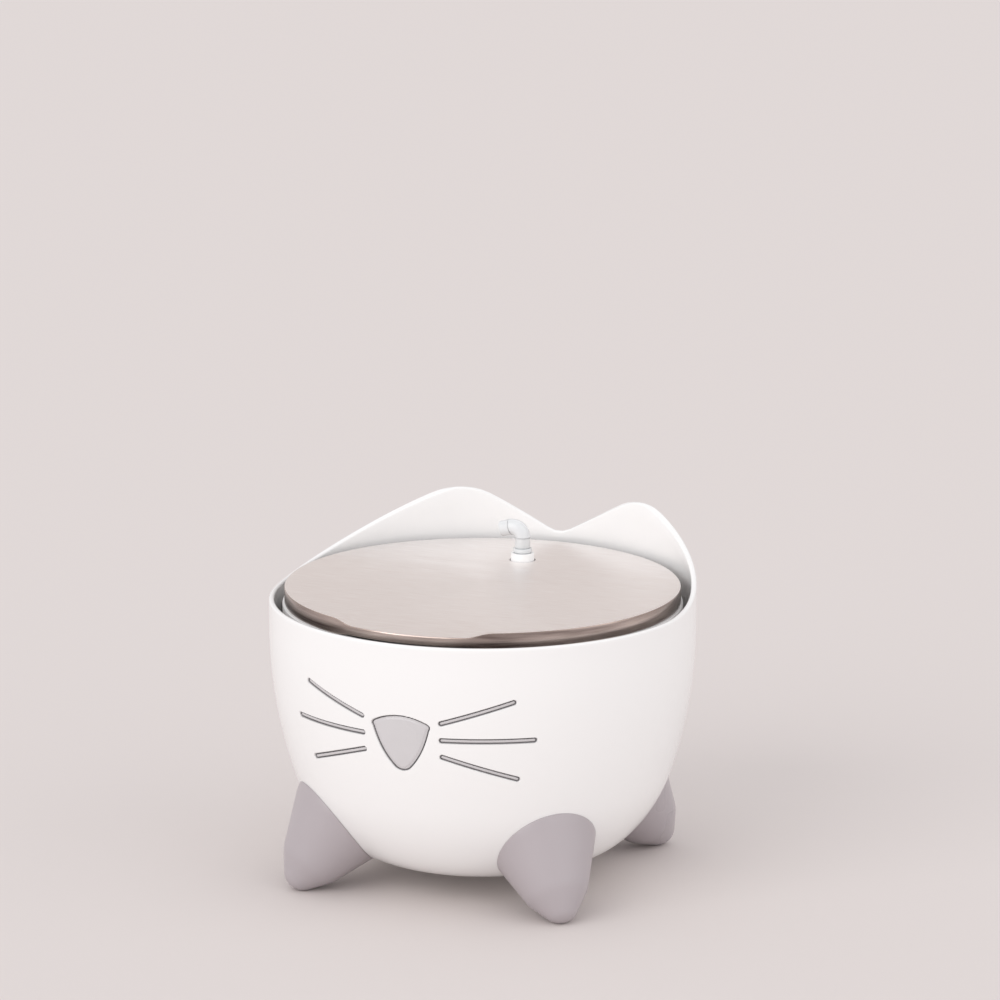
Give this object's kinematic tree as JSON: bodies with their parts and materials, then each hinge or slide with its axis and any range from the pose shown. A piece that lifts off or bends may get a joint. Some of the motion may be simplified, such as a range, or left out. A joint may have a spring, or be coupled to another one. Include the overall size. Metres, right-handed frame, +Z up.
{
  "type": "pet water fountain",
  "caption": "Round pet drinking fountain with cat ears and feet, filter tray, steel drinking plate, submersible pump, clear riser and spout, and a low-voltage lead.",
  "frame": {"origin": "on the floor under the middle of the bowl, at the centre of the bottom of the object's box, without the supply lead", "axes": "+Z up, -Y towards the front with the cat face, +X to the right seen from the front"},
  "size_m": [0.207, 0.2765, 0.1684],
  "materials": {
    "bowl_plastic": "polished moulded plastic",
    "foot_plastic": "satin moulded plastic",
    "face_clear": "clear moulded plastic, lightly frosted inside",
    "tray_plastic": "satin moulded plastic",
    "ring_plastic": "satin moulded plastic",
    "filter_clear": "thin thermoformed film",
    "carbon": "loose granules",
    "resin": "loose granules",
    "steel": "brushed stainless steel",
    "spout_clear": "translucent moulded plastic",
    "tube_clear": "clear extruded tube",
    "pump_plastic": "satin moulded plastic",
    "led_red": "red lens",
    "soft_rubber": "moulded rubber",
    "cable_white": "soft cable sheath",
    "magnet": "sintered magnet",
    "steel_pin": "polished steel",
    "copper": "enamelled winding",
    "tie_strap": "woven strap",
    "plug_metal": "plated steel"
  },
  "bodies": {
    "base": {"bowl": "bowl_plastic", "rim_left": "bowl_plastic", "rim_right": "bowl_plastic", "tray_ribs": "bowl_plastic", "cord_duct": "bowl_plastic", "pump_dock": "bowl_plastic", "foot_front_left": "foot_plastic", "foot_front_right": "foot_plastic", "foot_back_left": "foot_plastic", "foot_back_right": "foot_plastic", "face_window": "face_clear", "rear_cover": "bowl_plastic", "cover_screws": "steel_pin", "cord_grommet": "soft_rubber", "bay_lead": "cable_white", "outlet_bush": "soft_rubber", "cord": "cable_white", "cord_coil": "cable_white", "coil_tie": "tie_strap", "usb_body": "cable_white", "usb_shell": "plug_metal"},
    "pump": {"pump_housing": "pump_plastic", "pump_cover": "pump_plastic", "pump_gland": "pump_plastic", "led_lens": "led_red", "suction_cups": "soft_rubber", "impeller_shaft": "steel_pin", "shaft_bushes": "soft_rubber", "stator_coil": "copper", "inner_lead": "cable_white"},
    "dial": {"flow_dial": "pump_plastic"},
    "rotor": {"impeller": "ring_plastic", "rotor_magnet": "magnet"},
    "riser": {"riser_tube": "tube_clear"},
    "filter_tray": {"tray": "tray_plastic", "tray_well": "tray_plastic", "riser_dome": "tray_plastic", "ring_lugs": "tray_plastic", "ring_pin": "steel_pin"},
    "ring": {"pull_ring": "ring_plastic"},
    "filter": {"filter_shell": "filter_clear", "filter_film": "filter_clear", "carbon_fill": "carbon", "resin_fill": "resin"},
    "plate": {"steel_plate": "steel", "plate_rim": "steel"},
    "sleeve": {"spout_plug": "spout_clear"},
    "elbow": {"spout": "spout_clear"}
  },
  "joints": [
    {"name": "pump_lift", "type": "slide", "parent": "base", "child": "pump", "axis": [0, 0, 1], "range_m": [0, 0.1015], "deforming": ["inner_lead"]},
    {"name": "dial_turn", "type": "hinge", "parent": "pump", "child": "dial", "pos_m": [-0.01888, 0.02944, 0.0544], "axis": [0.7071, 0.7071, 0], "range_deg": [0, 90]},
    {"name": "impeller_spin", "type": "hinge", "parent": "pump", "child": "rotor", "pos_m": [0, 0.052, 0.04975], "axis": [0.7071, 0.7071, 0], "continuous": true},
    {"name": "riser_lift", "type": "slide", "parent": "pump", "child": "riser", "axis": [0, 0, 1], "range_m": [0, 0.0189]},
    {"name": "tray_lift", "type": "slide", "parent": "riser", "child": "filter_tray", "axis": [0, 0, 1], "range_m": [0, 0.0152]},
    {"name": "ring_fold", "type": "hinge", "parent": "filter_tray", "child": "ring", "pos_m": [0.02605, 0.058, 0.1371], "axis": [1, 0, 0], "range_deg": [0, 65]},
    {"name": "filter_lift", "type": "slide", "parent": "filter_tray", "child": "filter", "axis": [0, 0, 1], "range_m": [0, 0.0487]},
    {"name": "plate_lift", "type": "slide", "parent": "filter", "child": "plate", "axis": [0, 0, 1], "range_m": [0, 0.0205]},
    {"name": "spout_lift", "type": "slide", "parent": "plate", "child": "sleeve", "axis": [0, 0, 1], "range_m": [0, 0.023]},
    {"name": "spout_swivel", "type": "hinge", "parent": "sleeve", "child": "elbow", "pos_m": [0, 0.052, 0.1496], "axis": [0, 0, 1], "range_deg": [-180, 0]}
  ],
  "couplings": [
    {"joint": "ring_fold", "follows": "plate_lift", "rad_per_m": 55.33}
  ]
}
